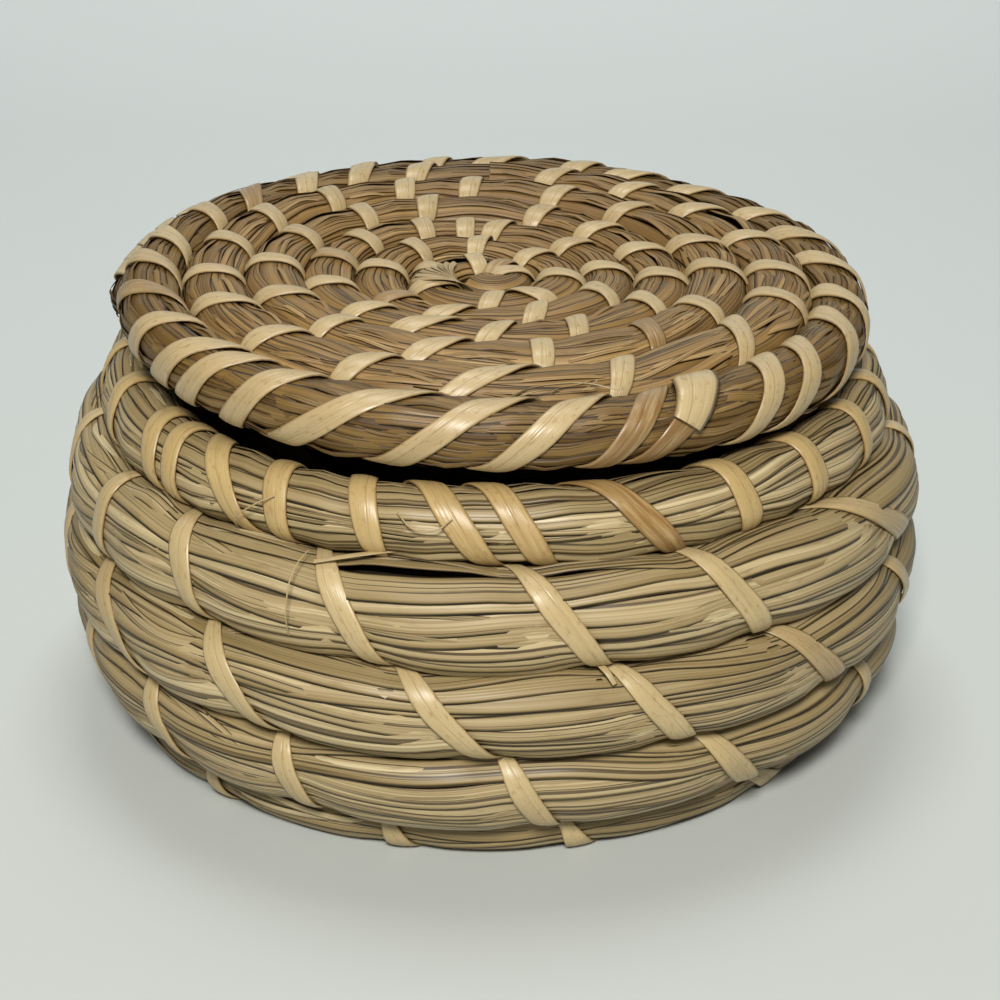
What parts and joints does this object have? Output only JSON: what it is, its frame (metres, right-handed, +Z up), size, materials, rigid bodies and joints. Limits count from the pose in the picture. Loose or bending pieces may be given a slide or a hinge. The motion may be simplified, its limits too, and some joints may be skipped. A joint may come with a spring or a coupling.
{
  "type": "lidded coiled grass basket",
  "caption": "Round lidded storage basket of coiled grass bundle, its rounds bound with flat leaf strips; the low coiled lid lifts off.",
  "frame": {"origin": "the coils' axis on the surface that the basket stands on, at the middle of its footprint", "axes": "+Z up through the lid, the pictured front faces -Y, +X to its right"},
  "size_m": [0.1689, 0.17, 0.0925],
  "materials": {
    "basket_grass": "dried sweetgrass bundle, satin blades, greyish straw",
    "lid_grass": "dried sweetgrass bundle, satin blades, browner straw",
    "wall_leaf": "flat split leaf strip, pale straw, slight gloss",
    "rim_leaf": "flat split leaf strip, yellow straw, slight gloss",
    "lid_leaf": "flat split leaf strip, pale straw, slight gloss"
  },
  "bodies": {
    "basket": {"basket_coil": "basket_grass", "base_knot": "basket_grass", "base_splint_1": "wall_leaf", "base_splint_2": "wall_leaf", "foot_splint": "wall_leaf", "wall_splint_1": "wall_leaf", "wall_splint_2": "wall_leaf", "wall_splint_3": "wall_leaf", "rim_splint": "rim_leaf"},
    "lid": {"lid_coil": "lid_grass", "lid_knot": "lid_grass", "lid_splint_1": "lid_leaf", "lid_splint_2": "lid_leaf", "lid_splint_3": "lid_leaf", "lid_edge_splint": "lid_leaf"}
  },
  "joints": [
    {"name": "lid_lift", "type": "slide", "parent": "basket", "child": "lid", "axis": [0, 0, 1], "range_m": [0, 0.07]}
  ]
}
